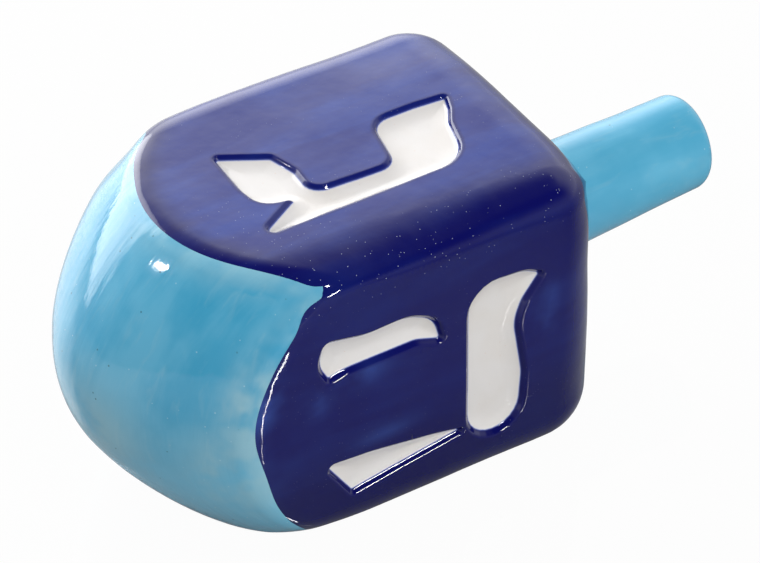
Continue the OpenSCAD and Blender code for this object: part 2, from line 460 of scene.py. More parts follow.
@dataclass
class Skin:
    """Triangles over the drawn form, with the zone of paint that each belongs to."""

    form: CastForm
    points: Array
    faces: Array
    zone: Array

    @classmethod
    def over(cls, form: CastForm, rings: int, around: int) -> Skin:
        """A first coarse net: rings of points seen from the middle of the body.

        Args:
            form: what the net lies on.
            rings: bands from the tip to the shoulder.
            around: points round each ring, a multiple of four.

        Returns:
            A closed skin with its points on the form and every face in zone 0.
        """
        polar = np.linspace(0, math.pi, rings + 1)[1:-1]
        turn = (np.arange(around) + 0.5) * 2 * math.pi / around
        rays = [(-1.0, 0.0, 0.0)]
        rays += [(-math.cos(a), math.sin(a) * math.cos(t), math.sin(a) * math.sin(t))
                 for a in polar for t in turn]
        rays.append((1.0, 0.0, 0.0))
        rays = np.array(rays)
        middle = np.array([-form.body_length / 2, 0, 0])
        low, high = np.zeros(len(rays)), np.full(len(rays), form.body_length)
        for _ in range(HALVINGS):
            half = (low + high) / 2
            out = form.gap(middle + rays * half[:, None]) > 0
            low, high = np.where(out, low, half), np.where(out, half, high)
        faces = []
        last = len(rays) - 1
        for i in range(around):
            j = (i + 1) % around
            faces.append((0, 1 + j, 1 + i))
            for k in range(rings - 2):
                a, b = 1 + k * around + i, 1 + k * around + j
                faces += [(a, b, b + around), (a, b + around, a + around)]
            faces.append((last - around + i, last - around + j, last))
        faces = np.array(faces)
        points = middle + rays * high[:, None]
        spin = np.einsum("ij,ij->i", np.cross(points[faces[:, 1]] - points[faces[:, 0]],
                                              points[faces[:, 2]] - points[faces[:, 0]]),
                         points[faces].mean(1) - middle)
        faces[spin < 0] = faces[spin < 0][:, ::-1]
        return cls(form, points, faces, np.zeros(len(faces), int))

    def edges(self) -> tuple[Array, Array]:
        """Lists the edges.

        Returns:
            Each edge's two points, and the numbers of each face's three edges.
        """
        sides = np.sort(sides_of(self.faces), axis=1)
        count = len(self.points)
        keys, back = np.unique(sides[:, 0] * count + sides[:, 1], return_inverse=True)
        return np.stack([keys // count, keys % count], axis=1), back.reshape(-1, 3)

    def split(self, edges: Array, of_face: Array, share: Array) -> None:
        """Splits edges, and every face that has a split edge.

        Args:
            edges: from edges().
            of_face: from edges().
            share: where each edge is split, from its first point, or nan where it isn't.
        """
        cut = ~np.isnan(share)
        ends, along = edges[cut], share[cut][:, None]
        added = self.points[ends[:, 0]] * (1 - along) + self.points[ends[:, 1]] * along
        number = np.full(len(edges), -1)
        number[cut] = len(self.points) + np.arange(cut.sum())
        self.points = np.concatenate([self.points, self.form.settle(added, 2)])
        middles = number[of_face]
        count = (middles >= 0).sum(1)
        first = np.zeros(len(count), int)
        first[count == 1] = np.argmax(middles[count == 1] >= 0, axis=1)
        first[count == 2] = (np.argmin(middles[count == 2], axis=1) + 1) % 3
        order = (first[:, None] + np.arange(3)) % 3
        a, b, c = np.take_along_axis(self.faces, order, 1).T
        p, q, r = np.take_along_axis(middles, order, 1).T
        one, two, three = (count == cuts for cuts in (1, 2, 3))
        spots = self.points
        near = distance(spots[a], spots[q]) < distance(spots[p], spots[c])
        short, long = two & near, two & ~near
        pieces = [(count == 0, (a, b, c)), (one, (a, p, c)), (one, (p, b, c)), (two, (p, b, q)),
                  (short, (a, p, q)), (short, (a, q, c)), (long, (a, p, c)), (long, (p, q, c)),
                  (three, (a, p, r)), (three, (p, b, q)), (three, (r, q, c)), (three, (p, q, r))]
        self.faces = np.concatenate([np.stack([k[mask] for k in corners], 1) for mask, corners in pieces])
        self.zone = np.concatenate([self.zone[mask] for mask, _ in pieces])

    def refine(self, aim: Callable[[Array], Array], passes: int = 9) -> None:
        """Splits edges until none is much longer than the length aimed at where it lies.

        Args:
            aim: gives the length aimed at for each point.
            passes: the most often that edges are split.
        """
        for _ in range(passes):
            edges, of_face = self.edges()
            a, b = self.points[edges[:, 0]], self.points[edges[:, 1]]
            wanted = distance(a, b) > SPLIT_SHARE * aim((a + b) / 2)
            if not wanted.any():
                return
            self.split(edges, of_face, np.where(wanted, 0.5, np.nan))

    def cut(self, field_of: Callable[[Array], Array], old: Zone, new: Zone) -> None:
        """Cuts a zone along a field's zero line, and gives the part above zero to another.

        Args:
            field_of: gives one number for each point.
            old: the zone that is cut.
            new: the zone that gets the part above zero.
        """
        value = field_of(self.points)
        edges, _ = self.edges()
        shortest = np.full(len(self.points), np.inf)
        spans = distance(self.points[edges[:, 0]], self.points[edges[:, 1]])
        for end in (0, 1):
            np.minimum.at(shortest, edges[:, end], spans)
        near = np.abs(value) < SNAP_SHARE * shortest
        near &= np.isin(np.arange(len(value)), self.part(old))
        for _ in range(2):
            p = self.points[near]
            self.points[near] = self.form.settle(p - step_from_zero(field_of, p), 2)
        value[near] = 0
        edges, of_face = self.edges()
        a, b = value[edges[:, 0]], value[edges[:, 1]]
        in_old = np.zeros(len(edges), bool)
        in_old[of_face[self.zone == old].ravel()] = True
        crossed = (a * b < 0) & in_old
        share = np.full(len(edges), np.nan)
        share[crossed] = (a / np.where(crossed, a - b, 1))[crossed]
        before = len(self.points)
        self.split(edges, of_face, share)
        value = np.concatenate([value, np.zeros(len(self.points) - before)])
        self.zone[(self.zone == old) & (value[self.faces].sum(1) > 0)] = new

    def part(self, zone: Zone) -> Array:
        """The faces of a zone."""
        return self.faces[self.zone == zone]

    def rim_of(self, faces: Array) -> Array:
        """Finds the open edges of a set of faces.

        Args:
            faces: three points each.

        Returns:
            Two points for each open edge, in the direction that the faces run.
        """
        sides = sides_of(faces)
        keys = sides[:, 0] * len(self.points) + sides[:, 1]
        back = sides[:, 1] * len(self.points) + sides[:, 0]
        return sides[~np.isin(keys, back)]


def add_object(name: str, data: bpy.types.ID) -> bpy.types.Object:
    """Puts a mesh, a lamp or a camera into the scene.

    Args:
        name: the object's name.
        data: what it shows.

    Returns:
        The object.
    """
    added = bpy.data.objects.new(name, data)
    bpy.context.scene.collection.objects.link(added)
    return added


def finish_piece(piece: bpy.types.Object, glaze: bpy.types.Material, node: str) -> bpy.types.Object:
    """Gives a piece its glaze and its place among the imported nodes.

    Args:
        piece: the dressed piece.
        glaze: its material.
        node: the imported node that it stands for.

    Returns:
        The piece.
    """
    piece.data.materials.append(glaze)
    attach(piece, "root")
    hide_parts(node)
    return piece


@dataclass
class Layers:
    """The points that the castings and inlays share: outside, underside of the white glaze, inside.

    The points are in millimetres on the toy's own axes. Each has a direction of the surface and named
    numbers for the material. The place leads from the toy's own axes, in metres, to the row frame.
    """

    points: Array
    directions: Array
    values: dict[str, Array]
    place: Matrix

    def piece(self, name: str, shown: Array, hidden: Array) -> bpy.types.Object:
        """Builds an object from triangles.

        Args:
            name: the piece's name.
            shown: faces that take the directions of their points.
            hidden: faces that keep their own direction.

        Returns:
            The object, linked to the scene.
        """
        used, corner = np.unique(np.concatenate([shown, hidden]), return_inverse=True)
        corner = corner.reshape(-1, 3)
        turn = np.array(self.place.to_3x3())
        spots = self.points[used] * MM @ turn.T + np.array(self.place.translation)
        mesh = bpy.data.meshes.new(name)
        mesh.from_pydata(spots.tolist(), [], corner.tolist())
        mesh.shade_smooth()
        mesh.update()
        own = np.zeros(len(mesh.polygons) * 3)
        mesh.polygons.foreach_get("normal", own)
        directions = np.repeat(own.reshape(-1, 3), 3, axis=0)
        smooth = 3 * len(shown)
        directions[:smooth] = (self.directions[used] @ turn.T)[corner.ravel()[:smooth]]
        mesh.normals_split_custom_set(directions.tolist())
        for title, numbers in self.values.items():
            layer = mesh.attributes.new(title, "FLOAT", "POINT")
            layer.data.foreach_set("value", numbers[used].astype(np.float32))
        return add_object(name, mesh)


# Shader maths


class Wire:
    """One value in a shader: a socket that can be used in sums."""

    def __init__(self, tree: Board, socket: bpy.types.NodeSocket) -> None:
        """Wraps the socket of a node in the tree."""
        self.tree, self.socket = tree, socket

    def _maths(self, operation: str, *others: Wire | float) -> Wire:
        """A Math node on this value and others."""
        sockets = dict(enumerate((self, *others)))
        return self.tree.node("ShaderNodeMath", {"operation": operation}, sockets)["Value"]

    def __add__(self, other: Wire | float) -> Wire:
        """self + other."""
        return self._maths("ADD", other)

    __radd__ = __add__

    def __sub__(self, other: Wire | float) -> Wire:
        """self - other."""
        return self._maths("SUBTRACT", other)

    def __rsub__(self, other: float) -> Wire:
        """other - self."""
        return self.tree.node("ShaderNodeMath", {"operation": "SUBTRACT"}, {0: other, 1: self})["Value"]

    def __mul__(self, other: Wire | float) -> Wire:
        """self * other."""
        return self._maths("MULTIPLY", other)

    __rmul__ = __mul__

    def __pow__(self, other: float) -> Wire:
        """self ** other."""
        return self._maths("POWER", other)

    def clamp(self) -> Wire:
        """This value, kept between 0 and 1."""
        return self.tree.node("ShaderNodeClamp", {}, {"Value": self, "Min": 0.0, "Max": 1.0})["Result"]

    def rise(self, low: float, high: float, start: float = 0.0, end: float = 1.0) -> Wire:
        """Turns this value into a smooth change.

        Args:
            low: where the change begins.
            high: where it ends.
            start: the result at low.
            end: the result at high.

        Returns:
            The changing value, kept between start and end.
        """
        sockets = {"Value": self, "From Min": low, "From Max": high, "To Min": start, "To Max": end}
        return self.tree.node("ShaderNodeMapRange", {"interpolation_type": "SMOOTHSTEP"}, sockets)["Result"]


class Outlets:
    """The outputs of a node, by name."""

    def __init__(self, tree: Board, node: bpy.types.Node) -> None:
        """Wraps a node in the tree."""
        self.tree, self.node = tree, node

    def __getitem__(self, name: str) -> Wire:
        """The output of that name."""
        return Wire(self.tree, next(s for s in self.node.outputs if s.name == name and s.enabled))


class Board:
    """The nodes of one material, lamp or world."""

    def __init__(self, owner: bpy.types.Material | bpy.types.Light | bpy.types.World) -> None:
        """Starts with no nodes.

        Args:
            owner: what the nodes belong to.
        """
        owner.use_nodes = True
        self.tree = owner.node_tree
        self.tree.nodes.clear()

    def node(self, kind: str, settings: dict, sockets: dict) -> Outlets:
        """Adds a node.

        Args:
            kind: the node's type.
            settings: its own settings, set first.
            sockets: values or wires for its inputs, by name or number.

        Returns:
            Its outputs.
        """
        made = self.tree.nodes.new(kind)
        for key, value in settings.items():
            setattr(made, key, value)
        for key, value in sockets.items():
            socket = made.inputs[key] if isinstance(key, int) else next(
                s for s in made.inputs if s.name == key and s.enabled)
            if isinstance(value, Wire):
                self.tree.links.new(value.socket, socket)
            elif isinstance(value, tuple) and len(value) == 3 and socket.type == "RGBA":
                socket.default_value = (*value, 1.0)
            else:
                socket.default_value = value
        return Outlets(self, made)

    def mix(self, share: Wire | float, first: Wire | tuple, second: Wire | tuple) -> Wire:
        """Colour first turned into second by share."""
        settings = {"data_type": "RGBA", "blend_type": "MIX", "clamp_factor": True}
        return self.node("ShaderNodeMix", settings, {"Factor": share, "A": first, "B": second})["Result"]

    def attribute(self, name: str) -> Wire:
        """A number that the mesh holds at each point."""
        return self.node("ShaderNodeAttribute", {"attribute_name": name}, {})["Fac"]

    def point(self) -> Wire:
        """The point on the surface, in metres."""
        return self.node("ShaderNodeTexCoord", {}, {})["Object"]

    def parts(self, vector: Wire) -> tuple[Wire, Wire, Wire]:
        """The x, y and z of a vector."""
        split = self.node("ShaderNodeSeparateXYZ", {}, {"Vector": vector})
        return split["X"], split["Y"], split["Z"]

    def light(self, kind: str, strength: Wire | float) -> Wire:
        """White light, as an Emission or a Background."""
        return self.node(f"ShaderNode{kind}", {}, {"Color": (1.0, 1.0, 1.0), "Strength": strength})[kind]

    def dots(self, scale: float, radius: float, share: float) -> Wire:
        """Small round dots.

        Args:
            scale: cells to the metre of the net that they lie in.
            radius: of a dot, in cells.
            share: of the cells that hold one.

        Returns:
            1 on a dot and 0 off it.
        """
        cells = self.node("ShaderNodeTexVoronoi", {}, {"Vector": self.point(), "Scale": scale})
        chosen = self.parts(cells["Color"])[0].rise(1 - share, 1.01 - share)
        return cells["Distance"].rise(radius * 0.5, radius, 1.0, 0.0) * chosen

    def noise(self, scale: float | tuple[float, float, float], detail: float = 3.0, rough: float = 0.55,
              warp: float = 0.0) -> Wire:
        """Cloudy noise.

        Args:
            scale: clouds to the metre, or the same along x, y and z for strokes of a brush.
            detail: how many sizes of cloud lie over each other.
            rough: how strong the smaller ones are.
            warp: how far the clouds are drawn out of shape.

        Returns:
            A number from about 0 to 1.
        """
        where = self.point()
        if isinstance(scale, tuple):
            where = self.node("ShaderNodeMapping", {}, {"Vector": where, "Scale": scale})["Vector"]
            scale = 1.0
        sockets = {"Vector": where, "Scale": scale, "Detail": detail, "Roughness": rough, "Distortion": warp}
        return self.node("ShaderNodeTexNoise", {}, sockets)["Fac"]


# Finishes


Colour = tuple[float, float, float]


@dataclass(frozen=True)
class Glaze:
    """A clear gloss glaze over a painted or bare ground."""

    name: str
    ground: Colour
    roughness: float = 0.05
    ior: float = 1.5
    swell: float = 0.00003
    swell_scale: float = 330.0
    brushed: float = 0.0
    brush_scale: tuple[float, float, float] = (60.0, 700.0, 60.0)

    def colour(self, board: Board) -> Wire:
        """The ground's colour below the glaze."""
        raise NotImplementedError

    def build(self) -> bpy.types.Material:
        """Makes the material.

        Returns:
            The material, named for the finish.
        """
        material = bpy.data.materials.new(self.name)
        board = Board(material)
        height = board.noise(self.swell_scale, 2.0, 0.5) * self.swell
        if self.brushed:
            height = height + board.noise(self.brush_scale, 3.0, 0.6, 0.3) * self.brushed
        bump = board.node("ShaderNodeBump", {}, {"Strength": 1.0, "Distance": 1.0, "Height": height})["Normal"]
        shader = board.node("ShaderNodeBsdfPrincipled", {}, {
            "Base Color": self.colour(board), "Roughness": self.roughness, "Normal": bump, "IOR": self.ior,
        })["BSDF"]
        board.node("ShaderNodeOutputMaterial", {}, {"Surface": shader})
        return material


@dataclass(frozen=True)
class CobaltGlaze(Glaze):
    """Dark blue strokes along the body; the upper face is painted lighter, a painted sheen that fades to
    painted shade by the near crease and the arch.
    """

    # upper: the lighter blue of the upper face, a painted sheen where it catches the light.
    upper: Colour = (0.011, 0.021, 0.200)
    bright: Colour = (0.02, 0.06, 0.34)
    thin: Colour = (0.03, 0.07, 0.32)
    deep: Colour = (0.0028, 0.003, 0.06)
    halo: Colour = (0.12, 0.17, 0.55)
    speck: Colour = (0.55, 0.6, 0.75)
    upper_height: tuple[float, float] = (0.0600, 0.0637)
    upper_reach: tuple[float, float] = (-0.0265, -0.0150)
    low_height: tuple[float, float] = (0.034, 0.010)
    crest_height: tuple[float, float] = (0.055, 0.0585)
    crest_reach: tuple[float, float] = (-0.019, -0.026)

    def colour(self, board: Board) -> Wire:
        """Deep blue, mottled, with a painted sheen on the upper face, soft edges round the letters and a few
        pale specks.

        Args:
            board: the material's nodes.

        Returns:
            The colour below the glaze.
        """
        _, y, height = board.parts(board.point())
        to_letter, near_arch = board.attribute("letter"), board.attribute("near_arch")
        strokes = board.noise((26.0, 150.0, 150.0), 3.0, 0.55, 0.4)
        clouds = board.noise(60.0, 3.0, 0.55)
        # Painted light: the upper face is made lighter where it catches the light, fading to painted shade
        # towards the near crease and the arch.
        upper_sheen = height.rise(*self.upper_height) * y.rise(*self.upper_reach) * near_arch.rise(0.7, 0.25)
        colour = board.mix(upper_sheen, self.ground, self.upper)
        # The mottling is stronger on the painted sheen of the upper face.
        tone = (strokes * 0.6 + clouds * 0.4).rise(0.40, 0.66)
        colour = board.mix(tone * (upper_sheen * 0.5 + 0.12), colour, self.bright)
        colour = board.mix(board.attribute("thin") * clouds.rise(0.3, 0.6), colour, self.thin)
        # Darker towards the bottom of the body.
        colour = board.mix(height.rise(*self.low_height) * 0.6, colour, self.deep)
        colour = board.mix(to_letter.rise(-1.6, -0.8) * 0.7, colour, self.ground)
        colour = board.mix(to_letter.rise(-0.22, 0.0) * 0.5, colour, self.halo)
        # Pale dots, in clouds over the upper face and gathered along the near crest.
        pale_dots = board.noise(45.0, 2.0).rise(0.46, 0.62) * (upper_sheen * 0.5 + 0.12)
        pale_dots = pale_dots + height.rise(*self.crest_height) * y.rise(*self.crest_reach) * 0.8
        return board.mix(board.dots(1700.0, 0.17, 0.2) * pale_dots, colour, self.speck)


@dataclass(frozen=True)
class TurquoiseGlaze(Glaze):
    """Light blue strokes that run from the arched edges to the tip, or along the handle."""

    light: Colour = (0.12, 0.46, 0.68)
    thin: Colour = (0.40, 0.62, 0.67)
    pale: Colour = (0.20, 0.57, 0.78)
    speck: Colour = (0.45, 0.70, 0.80)
    pit: Colour = (0.03, 0.12, 0.16)
    low_height: tuple[float, float] = (0.062, 0.042)

    def colour(self, board: Board) -> Wire:
        """Turquoise with paler streaks, thin patches, pale specks and dark pits.

        Args:
            board: the material's nodes.

        Returns:
            The colour below the glaze.
        """
        _, _, height = board.parts(board.point())
        strokes = board.noise((22.0, 130.0, 22.0), 4.0, 0.6, 0.5)
        clouds = board.noise(70.0, 3.0, 0.55)
        fine = board.noise((110.0, 560.0, 110.0), 3.0, 0.6, 0.5)
        colour = board.mix((strokes * 0.5 + clouds * 0.5).rise(0.40, 0.66), self.ground, self.light)
        colour = board.mix(fine.rise(0.52, 0.80) * 0.16, colour, self.thin)
        near_arch = board.attribute("near_arch").rise(0.1, 1.0)
        colour = board.mix(near_arch * clouds.rise(0.3, 0.6) * 0.45, colour, self.thin)
        # Paler towards the bottom.
        low = (height + clouds * 0.035 + strokes * 0.02).rise(*self.low_height)
        colour = board.mix(low * 0.7, colour, self.pale)
        colour = board.mix(board.attribute("thin") * clouds.rise(0.3, 0.55), colour, self.thin)
        colour = board.mix(board.dots(650.0, 0.13, 0.2) * 0.5, colour, self.speck)
        return board.mix(board.dots(420.0, 0.11, 0.2) * 0.7, colour, self.pit)


@dataclass(frozen=True)
class WhiteGlaze(Glaze):
    """Bare white clay below the glaze."""

    warm: Colour = (0.79, 0.76, 0.73)
    speck: Colour = (0.72, 0.50, 0.36)
    rim: Colour = (0.42, 0.46, 0.70)

    def colour(self, board: Board) -> Wire:
        """White, a little warmer in clouds, with a few tiny rusty specks.

        Args:
            board: the material's nodes.

        Returns:
            The colour below the glaze.
        """
        colour = board.mix(board.noise(90.0, 2.0).rise(0.4, 0.7), self.ground, self.warm)
        colour = board.mix(board.dots(900.0, 0.13, 0.2) * 0.4, colour, self.speck)
        return board.mix(board.attribute("letter").rise(0.0, 0.22), self.rim, colour)


COBALT = CobaltGlaze("cobalt_glaze", (0.0036, 0.0042, 0.106))
TURQUOISE = TurquoiseGlaze("turquoise_glaze", (0.052, 0.370, 0.600), roughness=0.07, brushed=0.00006)
# A lighter copy of the turquoise for the handle: painted light, standing in for the brighter light on its top.
HANDLE_LIT_BLUE = TurquoiseGlaze("handle_lit_turquoise_glaze", (0.09, 0.42, 0.64), light=(0.14, 0.50, 0.72),
                             pale=(0.26, 0.60, 0.80))
WHITE = WhiteGlaze("white_glaze", (0.81, 0.79, 0.775))


# The toy


@dataclass
class Toy:
    """The two castings and the four inlays, made from one skin so that they join without a seam."""

    place: Matrix
    form: CastForm
    wall: float = 4.5
    glaze_thickness: float = 0.45
    glaze_run: float = 1.2
    cusp: float = 0.8
    cusp_run: tuple[float, float] = (0.9, 1.0)
    arch_fade: float = 4.0
    fineness: float = 1.0
    net: tuple[int, int] = (28, 48)
    flat_edge: float = 1.5
    turning_edge: float = 1.0
    line_edge: float = 0.6
    letter_wall_edge: float = 0.2
    letter_floor_edge: float = 0.5
    off_letter_edge: float = 9.0
    line_zone: float = 4.0
    arch_zone: float = 5.0
    long_edge_zone: float = 15.0
    shoulder_zone: float = 14.0
    letter_wall_zone: tuple[float, float] = (-1.45, 0.35)
    letter_floor_zone: tuple[float, float] = (-2.1, 3.1)
    lift_step: float = 0.12
    ripples: tuple[Ripples, ...] = (Ripples(7, 0.10, 12.0, 45.0), Ripples(11, 0.012, 3.0, 9.0))
    dents: tuple[Spot, ...] = (
        Spot((-71, 31, 26.5), (7, 9, 7), -1.35), Spot((-17, 25, 32), (13, 9, 9), -0.55),
        Spot((-1, -28.5, 27.5), (8, 9, 9), -1.75), Spot((-2, -28.5, 11), (7, 8, 11), -0.5),
        Spot((-3, 12, 28), (7, 14, 9), 0.45),
        Spot((-67, -28.5, -30.5), (8, 6, 6), -0.7), Spot((-92, 19, 2), (8, 8, 8), 0.45),
        Spot((-14, -29.5, -29.5), (14, 6, 6), 0.45),
    )
    laps: tuple[Spot, ...] = (
        Spot((-67.8, -30.6, 27), (5, 4, 3.2), -1.2), Spot((-78.5, -31.8, -7), (9, 5, 10), 1.45),
        Spot((-77.5, -31.5, 12), (9, 5, 9), 0.33), Spot((-70.5, -30.8, -24), (6, 5, 5), -0.5),
        Spot((-73, 21, 31), (5, 6, 5), -0.4),
    )
    thin_paint: tuple[Spot, ...] = (
        Spot((-58, -32, 8), (5.5, 4, 2.6), 0.8), Spot((-66, -32, 6), (2, 4, 3), 0.9),
        Spot((-52, -32, -8.6), (6, 4, 1.6), 0.6), Spot((-15.5, -32, 5), (2, 4, 4.5), 0.9),
        Spot((-78.5, -31, 10), (4, 4, 5.5), 1.5), Spot((-83, -28, -6), (9, 7, 12), 0.6),
        Spot((-99, -8, -4), (7, 12, 10), 0.55),
    )

    def __post_init__(self) -> None:
        """Draws the letters."""
        self.recesses = {
            Zone.HEY: Recess("hey_inlay", Side.HEY, HEY),
            Zone.GIMEL: Recess("gimel_inlay", Side.GIMEL, GIMEL, rim=0.65, wall=0.8, wall_depth=0.95,
                               depth=1.6),
            Zone.NUN: Recess("nun_inlay", Side.NUN, NUN),
            Zone.SHIN: Recess("shin_inlay", Side.SHIN, SHIN),
        }

    def arch_line(self, p: Array) -> Array:
        """Distance past the painted line between the body and the tip.

        The line runs to a point on each long edge.

        Args:
            p: rows of x, y, z.

        Returns:
            One distance for each point, above 0 on the tip.
        """
        turn = np.sign(-p[:, 1] * p[:, 2]) * (np.abs(p[:, 1]) - np.abs(p[:, 2]))
        point = self.cusp * np.exp(-np.abs(turn) / np.where(turn > 0, *self.cusp_run))
        return self.form.arch(p) + point + sum(spot.at(p) for spot in self.laps)

    def in_pour_hole(self, p: Array) -> Array:
        """Distance inside the pour hole, on the shoulder."""
        inside = self.form.pour_hole_d / 2 - np.hypot(p[:, 1], p[:, 2])
        return np.where(p[:, 0] > -self.form.body_length / 2, inside, -10.0)

    def inside_letters(self, p: Array) -> Array:
        """Distance inside the nearest white outline."""
        return np.max([recess.inside(p) for recess in self.recesses.values()], axis=0)

    def lift(self, p: Array) -> Array:
        """How far the real surface stands out from the drawn form.

        Args:
            p: rows of x, y, z, on the form.

        Returns:
            One height for each point.
        """
        height = sum((uneven.at(p) for uneven in (*self.ripples, *self.dents)), np.zeros(len(p)))
        for recess in self.recesses.values():
            height = height - recess.deep(p)
        return height

    def coarse_aim(self, p: Array) -> Array:
        """Length of edge wanted before the letters are cut.

        Args:
            p: rows of x, y, z.

        Returns:
            One length for each point.
        """
        near_line = np.minimum(np.abs(self.arch_line(p)), np.abs(self.in_pour_hole(p))) < self.line_zone
        turning = np.abs(self.form.arch(p)) < self.arch_zone
        turning |= (np.abs(p[:, 1:]) > self.form.face_reach - self.long_edge_zone).all(1)
        turning |= p[:, 0] > -self.shoulder_zone
        aim = np.where(turning, self.turning_edge, self.flat_edge)
        return self.fineness * np.where(near_line, self.line_edge, aim)

    def fine_aim(self, p: Array) -> Array:
        """Length of edge wanted round the letters.

        Args:
            p: rows of x, y, z.

        Returns:
            One length for each point.
        """
        inside = self.inside_letters(p)
        on_wall, on_floor = ((inside > low) & (inside < high)
                             for low, high in (self.letter_wall_zone, self.letter_floor_zone))
        aim = np.where(on_floor, self.letter_floor_edge, self.off_letter_edge)
        return self.fineness * np.where(on_wall, self.letter_wall_edge, aim)

    def layers(self, drawn: Array) -> Layers:
        """Works out the three layers over the skin's points.

        Args:
            drawn: the skin's points, on the drawn form.

        Returns:
            The layers, with what the glazes need to know at each point.
        """
        out = self.form.normal(drawn)
        outer = drawn + out * self.lift(drawn)[:, None]
        slope = gradient(self.lift, drawn, self.lift_step)
        slope -= out * (slope * out).sum(1, keepdims=True)
        directions = unit(out - slope)
        inside = self.inside_letters(drawn)
        sunk = outer - out * (self.glaze_thickness * smooth_step(inside, 0, self.glaze_run))[:, None]
        values = {
            "letter": inside,
            "thin": sum(spot.at(drawn) for spot in self.thin_paint),
            "near_arch": np.exp(-np.abs(self.arch_line(drawn)) / self.arch_fade),
        }
        return Layers(np.concatenate([outer, sunk, drawn - out * self.wall]),
                      np.concatenate([directions, directions, -out]),
                      {name: np.tile(numbers, 3) for name, numbers in values.items()}, self.place)

    def build(self, glazes: dict[Zone, bpy.types.Material]) -> list[bpy.types.Object]:
        """Makes the body, the tip and the inlays.

        Args:
            glazes: the material of each zone.

        Returns:
            The six pieces.
        """
        skin = Skin.over(self.form, *self.net)
        skin.refine(self.coarse_aim)
        skin.cut(self.arch_line, Zone.BODY, Zone.TIP)
        skin.cut(self.in_pour_hole, Zone.BODY, Zone.POUR_HOLE)
        coarse, coarse_zone = skin.faces, skin.zone
        skin.refine(self.fine_aim)
        for zone, recess in self.recesses.items():
            skin.cut(recess.inside, Zone.BODY, zone)
        layers, count = self.layers(skin.points), len(skin.points)
        log.info("skin: %d points, %d faces", count, len(skin.faces))
        at_line = np.abs(self.inside_letters(skin.points)) < ON_LINE
        pieces = []
        castings = ((Zone.BODY, "body_glazed", "body_casting"), (Zone.TIP, "tip_glazed", "tip_casting"))
        for zone, name, node in castings:
            shown = skin.part(zone)
            back = coarse[coarse_zone == zone]
            a, b = skin.rim_of(back).T
            in_a, in_b = a + 2 * count, b + 2 * count
            hidden = [back[:, ::-1] + 2 * count, np.stack([b, a, in_a], 1), np.stack([b, in_a, in_b], 1)]
            if zone is Zone.BODY:
                floors = np.concatenate([skin.part(white) for white in self.recesses])
                hidden.append(np.where(at_line[floors], floors, floors + count))
            piece = layers.piece(name, shown, np.concatenate(hidden))
            pieces.append(finish_piece(piece, glazes[zone], node))
        for zone, recess in self.recesses.items():
            shown = skin.part(zone)
            rim = np.isin(shown, skin.rim_of(shown))
            hidden = np.where(rim, shown, shown + count)[:, ::-1]
            piece = layers.piece(f"{recess.name}_glazed", shown, hidden)
            pieces.append(finish_piece(piece, glazes[zone], recess.name))
        return pieces


@dataclass
class Handle:
    """The plain round handle, with its smoothed foot, spigot and vent."""

    place: Matrix
    length: float = 40.5
    root_d: float = 21.8
    end_d: float = 19.8
    end_radius: float = 2.4
    lean: float = 2.0
    slip_radius: float = 1.2
    spigot_d: float = 14.0
    vent_d: float = 3.0
    vent_lip: float = 0.6
    wall: float = 4.5
    steps: int = 128
    sharp_angle: float = 50.0
    even_foot: tuple[float, float] = (1.5, 6.0)
    even_vent: tuple[float, float] = (3.0, 7.0)
    ripples: Ripples = field(default_factory=lambda: Ripples(3, 0.10, 7.0, 30.0))

    def profile(self) -> Array:
        """Draws the line that is turned into the handle.

        Returns:
            Rows of distance along and radius, from the vent's mouth over the outside and back.
        """
        end, foot = self.end_d / 2, self.root_d / 2
        line: list[tuple[float, float]] = []

        def arc(middle: tuple[float, float], radius: float, start: float, stop: float, count: int) -> None:
            """Adds an arc to the line.

            Args:
                middle: distance along and radius of its middle.
                radius: its own radius.
                start: its first angle, in degrees.
                stop: its last angle.
                count: its parts.
            """
            for i in range(count + 1):
                t = math.radians(start + (stop - start) * i / count)
                line.append((middle[0] + radius * math.cos(t), middle[1] + radius * math.sin(t)))

        vent, lip = self.vent_d / 2, self.vent_lip
        arc((self.length - lip, vent + lip), lip, -90, 0, 5)
        flat = np.linspace(vent + lip, end - self.end_radius, 8)[1:-1]
        line += [(self.length, r) for r in flat]
        arc((self.length - self.end_radius, end - self.end_radius), self.end_radius, 0, 90, 10)
        run = np.linspace(self.length - self.end_radius, self.slip_radius, 42)[1:-1]
        line += [(x, foot + (end - foot) * x / (self.length - self.end_radius)) for x in run]
        arc((self.slip_radius, foot + self.slip_radius), self.slip_radius, -90, -180, 7)
        line += [(0.0, self.spigot_d / 2), (-self.wall, self.spigot_d / 2), (-self.wall, vent)]
        return np.array(line)

    def build(self, glaze: bpy.types.Material) -> bpy.types.Object:
        """Makes the handle.

        Args:
            glaze: its material.

        Returns:
            The piece.
        """
        line = self.profile()
        turn = np.arange(self.steps) * 2 * math.pi / self.steps
        x = np.repeat(line[:, 0], self.steps)
        radius = np.repeat(line[:, 1], self.steps)
        angle = np.tile(turn, len(line))
        points = np.stack([x, radius * np.cos(angle), radius * np.sin(angle)], axis=1)
        out = np.stack([np.zeros(len(x)), np.cos(angle), np.sin(angle)], axis=1)
        uneven = smooth_step(x, *self.even_foot) * smooth_step(radius, *self.even_vent)
        points += out * (self.ripples.at(points) * uneven)[:, None]
        points[:, 2] += x * math.tan(math.radians(self.lean))
        faces = []
        for i in range(len(line)):
            here, ahead = i * self.steps, (i + 1) % len(line) * self.steps
            for k in range(self.steps):
                n = (k + 1) % self.steps
                faces.append((here + k, here + n, ahead + n, ahead + k))
        mesh = bpy.data.meshes.new("handle_glazed")
        mesh.from_pydata((points * MM).tolist(), [], faces)
        mesh.transform(self.place)
        mesh.update()
        mesh.shade_smooth()
        mesh.set_sharp_from_angle(angle=math.radians(self.sharp_angle))
        return finish_piece(add_object("handle_glazed", mesh), glaze, "handle_casting")


# Studio


